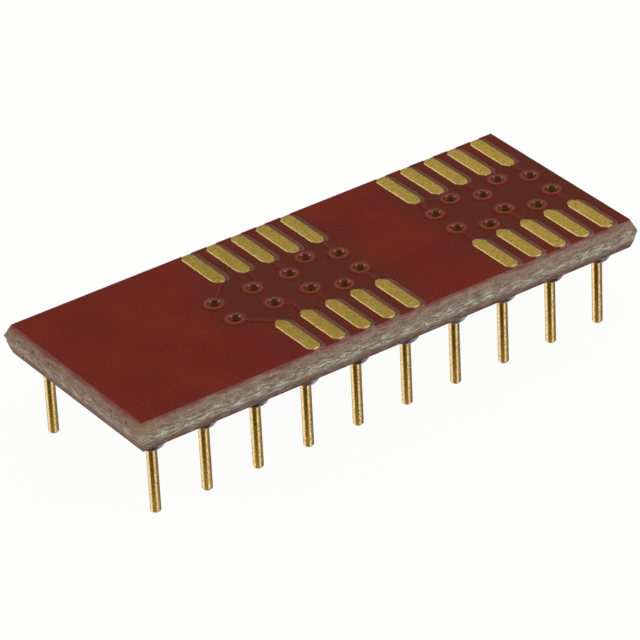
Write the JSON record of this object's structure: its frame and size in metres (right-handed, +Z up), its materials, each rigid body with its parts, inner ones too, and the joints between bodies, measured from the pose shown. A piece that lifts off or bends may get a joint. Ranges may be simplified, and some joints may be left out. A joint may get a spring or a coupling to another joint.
{
  "type": "ic socket adapter",
  "caption": "Small red circuit board with gold lands for a J-lead IC on top and rows of round gold pins below, to plug it into a dual in-line socket.",
  "frame": {"origin": "on the plane of the pin tips, under the middle of the board and of the pin field", "axes": "+X along the pin rows, towards the end that the IC footprint reaches; +Y across the rows; +Z up from the pins to the face with the lands"},
  "size_m": [0.0254, 0.0102, 0.0052],
  "materials": {
    "glass_epoxy": "snapped glass-epoxy laminate",
    "solder_mask": "satin red-brown printed mask",
    "gold_on_copper": "matte gold over nickel on copper",
    "gold_on_brass": "bright gold plate on turned brass",
    "solder": "reflowed tin-lead solder"
  },
  "bodies": {
    "root": {"laminate_board": "glass_epoxy", "top_solder_mask": "solder_mask", "underside_solder_mask": "solder_mask", "copper_circuit_01": "gold_on_copper", "copper_circuit_02": "gold_on_copper", "copper_circuit_03": "gold_on_copper", "copper_circuit_04": "gold_on_copper", "copper_circuit_05": "gold_on_copper", "copper_circuit_06": "gold_on_copper", "copper_circuit_07": "gold_on_copper", "copper_circuit_08": "gold_on_copper", "copper_circuit_09": "gold_on_copper", "copper_circuit_10": "gold_on_copper", "copper_circuit_11": "gold_on_copper", "copper_circuit_12": "gold_on_copper", "copper_circuit_13": "gold_on_copper", "copper_circuit_14": "gold_on_copper", "copper_circuit_15": "gold_on_copper", "copper_circuit_16": "gold_on_copper", "copper_circuit_17": "gold_on_copper", "copper_circuit_18": "gold_on_copper", "copper_circuit_19": "gold_on_copper", "copper_circuit_20": "gold_on_copper", "pin_01": "gold_on_brass", "pin_02": "gold_on_brass", "pin_03": "gold_on_brass", "pin_04": "gold_on_brass", "pin_05": "gold_on_brass", "pin_06": "gold_on_brass", "pin_07": "gold_on_brass", "pin_08": "gold_on_brass", "pin_09": "gold_on_brass", "pin_10": "gold_on_brass", "pin_11": "gold_on_brass", "pin_12": "gold_on_brass", "pin_13": "gold_on_brass", "pin_14": "gold_on_brass", "pin_15": "gold_on_brass", "pin_16": "gold_on_brass", "pin_17": "gold_on_brass", "pin_18": "gold_on_brass", "pin_19": "gold_on_brass", "pin_20": "gold_on_brass", "solder_collars_front_row": "solder", "solder_collars_back_row": "solder"}
  },
  "joints": []
}
